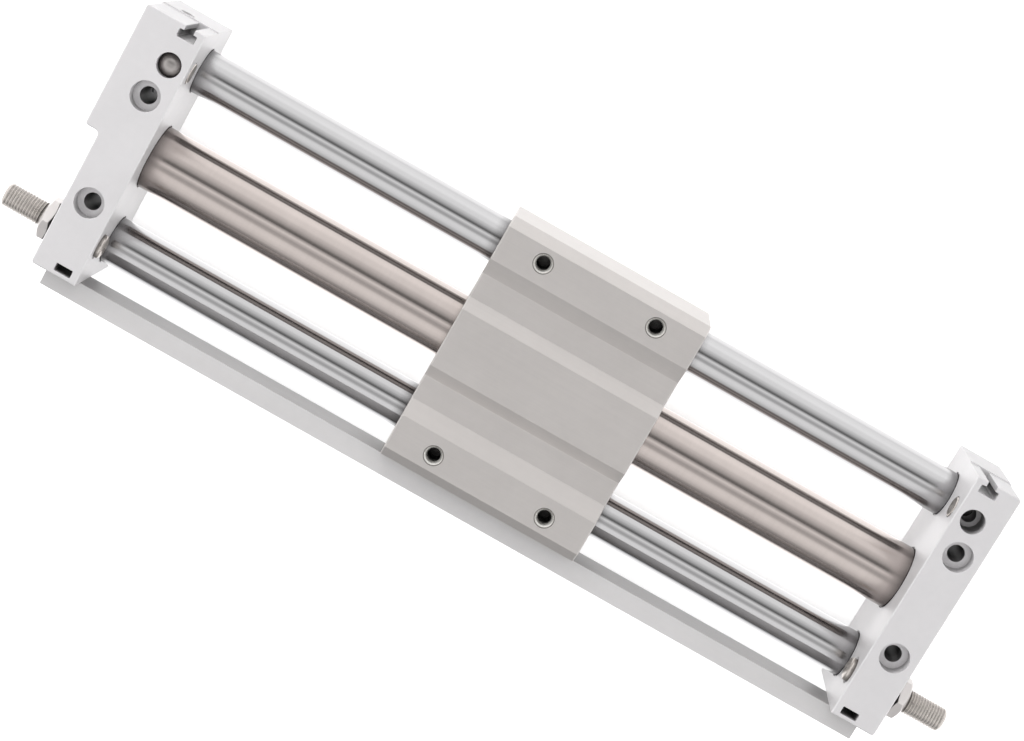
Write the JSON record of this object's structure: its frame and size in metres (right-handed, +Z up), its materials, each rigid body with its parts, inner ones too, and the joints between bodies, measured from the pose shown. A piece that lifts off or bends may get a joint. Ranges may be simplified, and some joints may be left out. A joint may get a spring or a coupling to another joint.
{
  "type": "rodless pneumatic cylinder",
  "caption": "Magnetically coupled rodless air cylinder: a slide block on two guide shafts between end plates, with adjusting bolts and a switch rail.",
  "frame": {"origin": "on the mounting plane, midway between the end plates, below the cylinder tube", "axes": "+X along the cylinder towards the plain plate, +Y towards the hollow guide shaft, +Z up"},
  "size_m": [0.341, 0.0959, 0.0454],
  "materials": {
    "anodised_plate": "fine satin, clear anodised",
    "anodised_block": "extruded, satin anodised",
    "anodised_rail": "extruded, satin anodised",
    "stainless_tube": "drawn, softly brushed",
    "chromed_shaft": "hard chromed, ground bright",
    "nickelled_steel": "nickel plated",
    "bright_steel": "bright steel",
    "black_screw": "black oxide",
    "spring_steel": "phosphated spring steel",
    "turned_aluminium": "turned",
    "magnet": "nickelled sintered magnet",
    "yoke_iron": "rolled iron",
    "bearing_bronze": "sintered, oiled",
    "bearing_plastic": "moulded",
    "seal_rubber": "black nitrile",
    "bumper_rubber": "urethane"
  },
  "bodies": {
    "frame": {"end_plate_left": "anodised_plate", "end_plate_right": "anodised_plate", "cylinder_tube": "stainless_tube", "guide_shaft_hollow": "chromed_shaft", "guide_shaft_solid": "chromed_shaft", "tube_gasket_left": "seal_rubber", "tube_gasket_right": "seal_rubber", "shaft_gasket_left": "seal_rubber", "shaft_gasket_right": "seal_rubber", "shaft_set_screws": "black_screw", "port_ball_plug": "bright_steel", "cross_plug": "bright_steel", "passage_plugs": "bright_steel", "lock_nut_left": "nickelled_steel", "lock_nut_right": "nickelled_steel", "switch_rail": "anodised_rail", "rail_screws": "black_screw", "rail_nuts": "bright_steel"},
    "slider": {"slide_block": "anodised_block", "slide_bush_1": "bearing_bronze", "slide_bush_2": "bearing_bronze", "slide_bush_3": "bearing_bronze", "slide_bush_4": "bearing_bronze", "magnet_sleeve": "turned_aluminium", "outer_magnet_1": "magnet", "outer_magnet_2": "magnet", "outer_magnet_3": "magnet", "outer_magnet_4": "magnet", "outer_yoke_1": "yoke_iron", "outer_yoke_2": "yoke_iron", "outer_yoke_3": "yoke_iron", "outer_yoke_4": "yoke_iron", "outer_yoke_5": "yoke_iron", "outer_wear_ring_left": "bearing_plastic", "outer_wear_ring_right": "bearing_plastic", "sleeve_ring_left": "spring_steel", "sleeve_ring_right": "spring_steel", "switch_magnet": "magnet"},
    "piston_unit": {"piston_shaft": "bright_steel", "inner_magnet_1": "magnet", "inner_magnet_2": "magnet", "inner_magnet_3": "magnet", "inner_magnet_4": "magnet", "inner_yoke_1": "yoke_iron", "inner_yoke_2": "yoke_iron", "inner_yoke_3": "yoke_iron", "inner_yoke_4": "yoke_iron", "inner_yoke_5": "yoke_iron", "piston_left": "turned_aluminium", "piston_seal_left": "seal_rubber", "piston_wear_ring_left": "bearing_plastic", "bumper_left": "bumper_rubber", "piston_right": "turned_aluminium", "piston_seal_right": "seal_rubber", "piston_wear_ring_right": "bearing_plastic", "bumper_right": "bumper_rubber", "piston_nuts": "bright_steel"},
    "left_bolt": {"adjust_bolt_left": "nickelled_steel"},
    "right_bolt": {"adjust_bolt_right": "nickelled_steel"}
  },
  "joints": [
    {"name": "slider_travel", "type": "slide", "parent": "frame", "child": "slider", "axis": [1, 0, 0], "range_m": [-0.1069, 0.0929]},
    {"name": "piston_travel", "type": "slide", "parent": "frame", "child": "piston_unit", "axis": [1, 0, 0], "range_m": [-0.1069, 0.0929]},
    {"name": "left_bolt_setting", "type": "slide", "parent": "frame", "child": "left_bolt", "axis": [1, 0, 0], "range_m": [-0.01, 0]},
    {"name": "right_bolt_setting", "type": "slide", "parent": "frame", "child": "right_bolt", "axis": [1, 0, 0], "range_m": [0, 0.01]}
  ],
  "couplings": [
    {"joint": "piston_travel", "follows": "slider_travel", "ratio": 1}
  ]
}
